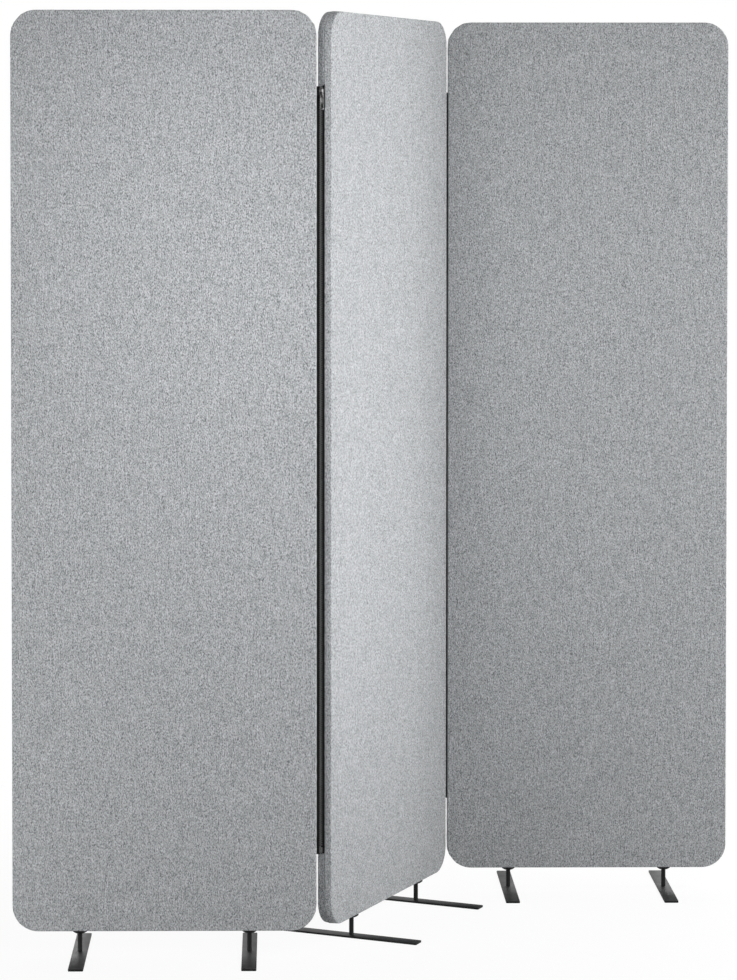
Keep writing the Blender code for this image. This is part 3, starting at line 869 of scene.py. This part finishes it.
def pull_tab_mesh(name, node):
    """A flared tab with a slot for its bar, a window near its foot and raised rungs between them."""
    low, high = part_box(node)
    length = high.z - low.z
    pivot_z = high.z - TAB_BAR / 2
    depth = -(PLATE_HALF_Y + TAB_PIVOT_REACH)
    foot = TAB_BAR / 2 - length
    top = TAB_BAR / 2
    outer = tapered_outline(TAB_TOP_WIDTH / 2, TAB_WIDTH / 2, top, foot, TAB_BAR / 2, TAB_CORNER)
    lean = (TAB_WIDTH - TAB_TOP_WIDTH) / 2 / length

    def hole(hole_top, hole_foot):
        halves = [TAB_TOP_WIDTH / 2 + lean * (top - z) - TAB_SIDE for z in (hole_top, hole_foot)]
        return tapered_outline(*halves, hole_top, hole_foot, TAB_BAR / 2, TAB_BAR / 2)

    slot = hole(-TAB_BAR / 2, -TAB_BAR / 2 - TAB_SLOT_LENGTH)
    window = hole(foot + TAB_FOOT_BAR + TAB_WINDOW_LENGTH, foot + TAB_FOOT_BAR)
    pieces = [upright_plate("tab", [outer, slot, window], 0, TAB_HALF, TAB_ROUND)]
    for place in RUNG_PLACES:
        half_width = TAB_TOP_WIDTH / 2 + lean * (top - place) - TAB_SIDE
        ends = place + RUNG_HALF_HEIGHT, place - RUNG_HALF_HEIGHT
        rung = tapered_outline(half_width, half_width, *ends, RUNG_CORNER, RUNG_CORNER)
        for face in (-1, 1):
            pieces.append(upright_plate("rung", [rung], face * TAB_HALF, RUNG_RAISE, TAB_ROUND))
    return moved(joined(name, pieces), Matrix.Translation((0, depth, pivot_z)))


# Feet, in a panel's frame


def local_box(node, matrix):
    """Lowest and highest corner of a node in the frame given by matrix."""
    inverse = np.array(matrix.inverted())
    corners = np.array([(*v.co, 1) for v in frame["nodes"][node].data.vertices]) @ inverse.T
    return corners[:, :3].min(0), corners[:, :3].max(0)


def bar_mesh(name, node, matrix):
    low, high = local_box(node, matrix)
    half_x, half_y = (high[0] - low[0]) / 2, (high[1] - low[1]) / 2
    outline = tapered_outline(half_x, half_x, half_y, -half_y, BAR_CORNER, BAR_CORNER)
    mesh = plate(name, [outline], (high[2] - low[2]) / 2, BAR_EDGE)
    return moved(mesh, Matrix.Translation((low + high) / 2))


def post_mesh(name, node, bar, collar, matrix):
    """A round post with a small fillet on the bar and a thinner stud above the collar's foot."""
    low, high = local_box(node, matrix)
    radius = (high[0] - low[0]) / 2
    bar_top, neck = local_box(bar, matrix)[1][2], local_box(collar, matrix)[0][2]
    stud = radius - STUD_STEP
    bend = POST_FILLET * POST_FILLET_BEND
    profile = [
        (radius + POST_FILLET, bar_top - POST_SINK),
        (radius + POST_FILLET, bar_top),
        (radius + bend, bar_top + bend),
        (radius, bar_top + POST_FILLET),
        (radius, neck + POST_FILLET),
        (stud, neck + STUD_STEP),
        (stud, high[2] - STUD_STEP),
        (stud / 2, high[2]),
    ]
    middle = ((low[0] + high[0]) / 2, (low[1] + high[1]) / 2, 0)
    return moved(turned(name, profile), Matrix.Translation(middle))


def collar_mesh(name, node, matrix):
    """A shallow bowl on the post that rises to a thin rim under the panel."""
    low, high = local_box(node, matrix)
    radius, foot, top = (high[0] - low[0]) / 2, low[2], high[2]
    rim = top - COLLAR_RIM
    profile = []
    for step in range(COLLAR_STEPS):
        share = step / COLLAR_STEPS
        out = COLLAR_NECK + (radius - COLLAR_NECK) * share
        profile.append((out, foot + (rim - foot) * share**COLLAR_BOWL))
    half_rim = COLLAR_RIM / 2
    profile += arc_points(radius - half_rim, top - half_rim, half_rim, 0, 1)
    middle = ((low[0] + high[0]) / 2, (low[1] + high[1]) / 2, 0)
    return moved(turned(name, profile), Matrix.Translation(middle))


# Materials


def new_material(name, base, roughness, gloss):
    """A material with a Principled shader; gloss holds more inputs, the same all over the surface."""
    material = bpy.data.materials.new(name)
    material.use_nodes = True
    shader = material.node_tree.nodes["Principled BSDF"]
    shader.inputs["Base Color"].default_value = (*base, 1)
    shader.inputs["Roughness"].default_value = roughness
    for key, value in gloss.items():
        shader.inputs[key].default_value = value
    return material, material.node_tree, shader


def add_node(tree, kind, inputs=(), **settings):
    """A shader node; each input is a pair of its name or number and a value or another node's output."""
    node = tree.nodes.new("ShaderNode" + kind)
    for key, value in settings.items():
        setattr(node, key, value)
    for key, value in inputs:
        if isinstance(value, bpy.types.NodeSocket):
            tree.links.new(value, node.inputs[key])
        else:
            node.inputs[key].default_value = value
    return node


def stretched(tree, place, size):
    """Texture coordinates whose unit is size, in metres along each axis."""
    scale = tuple(1 / length for length in size)
    return add_node(tree, "VectorMath", [(0, place), (1, scale)], operation="MULTIPLY").outputs[0]


def noise(tree, place, size, kind=SMOOTH):
    """Noise with its lattice turned askew, so that its rows don't line up with the surface."""
    detail, roughness = kind
    turn = [("Vector", stretched(tree, place, size)), ("Axis", GRAIN_AXIS), ("Angle", GRAIN_TURN)]
    vector = add_node(tree, "VectorRotate", turn).outputs[0]
    inputs = [("Vector", vector), ("Scale", 1.0), ("Detail", detail), ("Roughness", roughness)]
    return add_node(tree, "TexNoise", inputs).outputs[0]


def math_node(tree, operation, first, second=0.0, third=0.0):
    return add_node(tree, "Math", [(0, first), (1, second), (2, third)], operation=operation).outputs[0]


def ramp(tree, factor, places, colours):
    """A colour that runs through linear colours at places of the factor."""
    node = add_node(tree, "ValToRGB", [(0, factor)])
    elements = node.color_ramp.elements
    while len(elements) < len(places):
        elements.new(0.5)
    for element, place, colour in zip(elements, places, colours):
        element.position = place
        element.color = (*colour, 1)
    return node.outputs[0]


def tint(tree, shader, factor, places, colours):
    tree.links.new(ramp(tree, factor, places, colours), shader.inputs["Base Color"])


def roughen(tree, shader, factor, at_low, at_high):
    """Lets the roughness follow a noise from one value to another."""
    span = [(0, factor), (1, NOISE_LOW), (2, NOISE_HIGH), (3, at_low), (4, at_high)]
    tree.links.new(add_node(tree, "MapRange", span).outputs[0], shader.inputs["Roughness"])


def bump(tree, shader, height, distance):
    inputs = [("Strength", 1.0), ("Distance", distance), ("Height", height)]
    tree.links.new(add_node(tree, "Bump", inputs).outputs[0], shader.inputs["Normal"])


def object_place(tree):
    return add_node(tree, "TexCoord").outputs["Object"]


def thread_weave(tree, place, pitch):
    """A plain weave: a checker of threads over and under, and the height of the cloth."""
    xyz = add_node(tree, "SeparateXYZ", [(0, stretched(tree, place, (pitch, pitch, pitch)))])
    turns = [math_node(tree, "MULTIPLY", xyz.outputs[axis], math.pi) for axis in (0, 1)]
    product = math_node(tree, "MULTIPLY", *[math_node(tree, "SINE", turn) for turn in turns])
    checker = math_node(tree, "MULTIPLY_ADD", product, 0.5, 0.5)
    height = math_node(tree, "ABSOLUTE", product)
    return checker, height


def heather_fabric():
    """Light grey melange cloth: short upright light and dark flecks in a plain weave."""
    name = "heather_cloth"
    material, tree, shader = new_material(name, FABRIC_MIDDLE, FABRIC_ROUGHNESS, FABRIC_GLOSS)
    place = add_node(tree, "UVMap", uv_map=CLOTH_MAP).outputs[0]
    checker, height = thread_weave(tree, place, THREAD_PITCH)
    layers = (
        (noise(tree, place, FLECK_SIZE), FLECK_GAIN),
        (noise(tree, place, STREAK_SIZE), STREAK_GAIN),
        (noise(tree, place, FINE_FLECK_SIZE), FINE_FLECK_GAIN),
        (checker, THREAD_GAIN),
        (noise(tree, place, CLOUD_SIZE, FINE), CLOUD_GAIN),
    )
    total = 0.5 - sum(gain for _, gain in layers) / 2
    for layer, gain in layers:
        total = math_node(tree, "MULTIPLY_ADD", layer, gain, total)
    tint(tree, shader, total, (0.0, 0.5, 1.0), (FABRIC_DARK, FABRIC_MIDDLE, FABRIC_LIGHT))
    fuzz = noise(tree, place, FUZZ_SIZE, FINE)
    bump(tree, shader, math_node(tree, "MULTIPLY_ADD", fuzz, FUZZ_GAIN, height), THREAD_RELIEF)
    return material


def powder_coat():
    """Satin black powder coat with a fine orange peel and a little wear in its gloss."""
    material, tree, shader = new_material("black_powder_coat", COAT_COLOUR, COAT_SMOOTH, COAT_GLOSS)
    place = object_place(tree)
    roughen(tree, shader, noise(tree, place, COAT_CLOUD_SIZE, CLOUDY), COAT_SMOOTH, COAT_ROUGH)
    peel = noise(tree, place, COAT_PEEL_SIZE)
    tint(tree, shader, peel, COAT_SPECK_SPAN, (COAT_COLOUR, COAT_SPECK))
    bump(tree, shader, peel, COAT_RELIEF)
    return material


def woven_tape():
    """Black polyester tape: lengthwise ribs crossed by fine picks."""
    material, tree, shader = new_material("zip_tape_weave", TAPE_COLOUR, TAPE_ROUGHNESS, TAPE_GLOSS)
    place = object_place(tree)
    checker, height = thread_weave(tree, place, TAPE_PITCH)
    lint = math_node(tree, "MULTIPLY", noise(tree, place, TAPE_LINT_SIZE, FINE), TAPE_LINT_GAIN)
    total = math_node(tree, "MULTIPLY_ADD", checker, TAPE_THREAD_GAIN, lint)
    tint(tree, shader, total, TAPE_SPAN, (TAPE_COLOUR, TAPE_LIGHT))
    bump(tree, shader, height, TAPE_RELIEF)
    return material


def moulded_plastic():
    """Black acetal teeth, satin with slight differences from tooth to tooth."""
    material, tree, shader = new_material("zip_teeth_plastic", TEETH_COLOUR, TEETH_SMOOTH, {})
    place = object_place(tree)
    cloud = noise(tree, place, TEETH_CLOUD_SIZE, FINE)
    tint(tree, shader, cloud, TEETH_SPAN, (TEETH_COLOUR, TEETH_LIGHT))
    roughen(tree, shader, cloud, TEETH_SMOOTH, TEETH_ROUGH)
    bump(tree, shader, noise(tree, place, TEETH_GRAIN_SIZE), TEETH_RELIEF)
    return material


def dark_metal():
    """Black-enamelled zinc of the slider and tab, thinner and lighter where hands rub it."""
    material, tree, shader = new_material("slider_enamel", SLIDER_COLOUR, SLIDER_ROUGH, SLIDER_GLOSS)
    place = object_place(tree)
    wear = noise(tree, place, SLIDER_WEAR_SIZE, RICH)
    tint(tree, shader, wear, SLIDER_WEAR_SPAN, (SLIDER_COLOUR, SLIDER_WORN))
    roughen(tree, shader, wear, SLIDER_ROUGH, SLIDER_SMOOTH)
    bump(tree, shader, noise(tree, place, SLIDER_GRAIN_SIZE, FINE), SLIDER_RELIEF)
    return material


def pressed_felt():
    """Pale pressed polyester fibre of the core boards."""
    material, tree, shader = new_material("pressed_felt", FELT_LIGHT, FELT_ROUGHNESS, FELT_GLOSS)
    fibre = noise(tree, object_place(tree), FELT_FIBRE_SIZE, FIBROUS)
    tint(tree, shader, fibre, (NOISE_LOW, NOISE_HIGH), (FELT_DARK, FELT_LIGHT))
    bump(tree, shader, fibre, FELT_RELIEF)
    return material


def rail_wood():
    """Plain sawn softwood with its grain along the rail."""
    material, tree, shader = new_material("rail_softwood", WOOD_LIGHT, WOOD_ROUGHNESS, {})
    grain = noise(tree, object_place(tree), WOOD_GRAIN_SIZE, RICH)
    tint(tree, shader, grain, WOOD_SPAN, (WOOD_DARK, WOOD_LIGHT))
    bump(tree, shader, grain, WOOD_RELIEF)
    return material


def turned_steel():
    """Bright steel of the threaded inserts with turning marks."""
    gloss = {"Metallic": 1.0}
    material, tree, shader = new_material("insert_turned_steel", STEEL_COLOUR, STEEL_SMOOTH, gloss)
    marks = noise(tree, object_place(tree), STEEL_MARK_SIZE, FINE)
    roughen(tree, shader, marks, STEEL_SMOOTH, STEEL_ROUGH)
    bump(tree, shader, marks, STEEL_RELIEF)
    return material


MATERIALS = {
    "heather_fabric": heather_fabric(),
    "felt_core": pressed_felt(),
    "rail_wood": rail_wood(),
    "insert_steel": turned_steel(),
    "black_coat": powder_coat(),
    "zip_tape": woven_tape(),
    "zip_plastic": moulded_plastic(),
    "slider_metal": dark_metal(),
}


# Assembly


def place_piece(name, mesh, slot, matrix, body, node):
    """A piece that stands for a node, rides on its body and takes the finish of a material slot."""
    obj = add_object(name, mesh, MATERIALS[slot], matrix)
    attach(obj, body)
    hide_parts(node)
    return obj


def dress_panel(panel, index):
    matrix = PANEL_FRAMES[panel]
    for face, side in (("front", -1), ("back", 1)):
        node = f"{panel}_{face}_cover"
        name = f"{panel}_{face}_cloth"
        cover = place_piece(name, cover_mesh(name, index, side), "heather_fabric", matrix, panel, node)
    for foot in ("left", "right"):
        start = f"{panel}_{foot}"
        bar, post, collar = (f"{start}_foot_{part}" for part in ("bar", "post", "collar"))
        meshes = {
            bar: bar_mesh(bar + "_coated", bar, matrix),
            post: post_mesh(post + "_coated", post, bar, collar, matrix),
            collar: collar_mesh(collar + "_coated", collar, matrix),
        }
        for node, mesh in meshes.items():
            place_piece(node + "_coated", mesh, "black_coat", matrix, panel, node)


def dress_zip(zip_name, outer_panel, outer_seam, middle_seam):
    matrix = frame_matrix((outer_seam + middle_seam) / 2, middle_seam - outer_seam)
    outer = outer_panel.split("_")[0]
    inner_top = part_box(f"{zip_name}_{outer}_tape")[1].z
    rows = ((outer, -1, outer_panel, outer_seam), ("middle", 1, "middle_panel", middle_seam))
    for label, side, panel, seam in rows:
        start = f"{zip_name}_{label}"
        node = start + "_tape"
        mesh = tape_mesh(node, node, inner_top, side, SEED + side)
        tape = add_object(node + "_woven", mesh, MATERIALS["zip_tape"], matrix)
        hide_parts(node)
        if panel == "middle_panel":
            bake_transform(tape)
        else:
            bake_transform(tape)
        node = start + "_teeth"
        place_piece(node + "_moulded", teeth_mesh(node, node, side), "zip_plastic", matrix, zip_name, node)
        node = start + "_top_stop"
        mesh = softened(node, node, STOP_ROUND, matrix)
        place_piece(node + "_pressed", mesh, "slider_metal", matrix, zip_name, node)
    for part in ("retainer_box", "insertion_pin"):
        node = f"{zip_name}_{part}"
        mesh = softened(node, node, BOX_ROUND, matrix)
        place_piece(node + "_moulded", mesh, "zip_plastic", matrix, zip_name, node)
    for part, make_mesh in (("slider", slider_mesh), ("pull_tab", pull_tab_mesh)):
        node = f"{zip_name}_{part}"
        place_piece(node + "_cast", make_mesh(node, node), "slider_metal", matrix, node, node)


for number, panel_name in enumerate(PANEL_FRAMES):
    dress_panel(panel_name, number)
dress_zip("near_zip", "left_panel", LEFT_SEAM, NEAR_SEAM)
dress_zip("far_zip", "right_panel", RIGHT_SEAM, FAR_SEAM)

# Nodes that no piece replaces take their slot's finish
for kept in frame["nodes"].values():
    if not kept.hide_render:
        kept.data.materials[0] = MATERIALS[kept.data.materials[0].name]


# Stage


def add_camera():
    data = bpy.data.cameras.new("camera")
    data.sensor_fit = "VERTICAL"
    data.sensor_height = SENSOR_HEIGHT
    data.lens = FOCAL_PIXELS / IMAGE_HEIGHT * SENSOR_HEIGHT
    data.shift_x = (IMAGE_WIDTH / 2 - AXIS_COLUMN) / IMAGE_HEIGHT
    data.shift_y = (AXIS_ROW - IMAGE_HEIGHT / 2) / IMAGE_HEIGHT
    obj = bpy.data.objects.new("camera", data)
    obj.location = CAMERA_PLACE
    obj.rotation_euler = (QUARTER + CAMERA_PITCH, 0, CAMERA_YAW)
    bpy.context.scene.collection.objects.link(obj)
    bpy.context.scene.camera = obj


def seen_directly(tree):
    """1 for rays from the camera and for those that metal, gloss and glass send out, else 0."""
    path = add_node(tree, "LightPath")
    rays = [path.outputs[name] for name in ("Is Camera Ray", "Is Glossy Ray", "Is Transmission Ray")]
    return math_node(tree, "MAXIMUM", math_node(tree, "MAXIMUM", rays[0], rays[1]), rays[2])


def add_floor():
    """A white floor that keeps a soft shadow: mostly its own white to the eye, grey to the light."""
    material = bpy.data.materials.new("studio_floor")
    material.use_nodes = True
    tree = material.node_tree
    tree.nodes.clear()
    seen = seen_directly(tree)
    colour = ramp(tree, seen, (0, 1), (FLOOR_BOUNCE, FLOOR_COLOUR))
    plain = add_node(tree, "BsdfDiffuse", [("Color", colour)])
    white = add_node(tree, "Emission", [("Color", (1, 1, 1, 1)), ("Strength", 1.0)])
    place = add_node(tree, "NewGeometry").outputs["Position"]
    away = add_node(tree, "VectorMath", [(0, place)], operation="LENGTH").outputs["Value"]
    near, far = FLOOR_FADE
    span = [(0, away), (1, near), (2, far), (3, FLOOR_WHITE_SHARE), (4, 1.0)]
    fade = add_node(tree, "MapRange", span)
    share = math_node(tree, "MULTIPLY", seen, fade.outputs[0])
    mix = add_node(tree, "MixShader", [(0, share), (1, plain.outputs[0]), (2, white.outputs[0])])
    output = add_node(tree, "OutputMaterial", [(0, mix.outputs[0])])
    output.is_active_output = True
    vertices = [(0, 0, 0)]
    faces = [(0, 1 + k, 1 + (k + 1) % ROUND_SIDES) for k in range(ROUND_SIDES)]
    for ring in range(FLOOR_RINGS):
        if ring > 0:
            faces += ring_faces(len(vertices), len(vertices) - ROUND_SIDES, ROUND_SIDES)
        vertices += circle(FLOOR_RADIUS * (ring + 1) / FLOOR_RINGS, 0)
    add_object("studio_floor", mesh_of("studio_floor", vertices, faces), material, Matrix())


def add_world():
    world = bpy.data.worlds.new("studio")
    world.use_nodes = True
    tree = world.node_tree
    tree.nodes.clear()
    white = add_node(tree, "Background", [("Color", (1, 1, 1, 1)), ("Strength", 1.0)])
    fill = add_node(tree, "Background", [("Color", (*SKY_COLOUR, 1)), ("Strength", SKY_STRENGTH)])
    both = [(0, seen_directly(tree)), (1, fill.outputs[0]), (2, white.outputs[0])]
    add_node(tree, "OutputWorld", [(0, add_node(tree, "MixShader", both).outputs[0])])
    bpy.context.scene.world = world


def add_softbox(name, azimuth, distance, height, aim, width, tall, spread, power):
    """A soft rectangular lamp; azimuth is from straight in front towards the right, seen from its aim."""
    data = bpy.data.lights.new(name, "AREA")
    data.shape = "RECTANGLE"
    data.size, data.size_y = width, tall
    data.spread = math.radians(spread)
    data.energy = power
    obj = bpy.data.objects.new(name, data)
    angle = math.radians(azimuth)
    place = Vector((aim[0] + math.sin(angle) * distance, aim[1] - math.cos(angle) * distance, height))
    obj.location = place
    obj.rotation_euler = (Vector(aim) - place).to_track_quat("-Z", "Y").to_euler()
    bpy.context.scene.collection.objects.link(obj)


add_camera()
add_floor()
add_world()
for lamp in LAMPS:
    add_softbox(*lamp)
bpy.context.scene.view_settings.view_transform = "Standard"
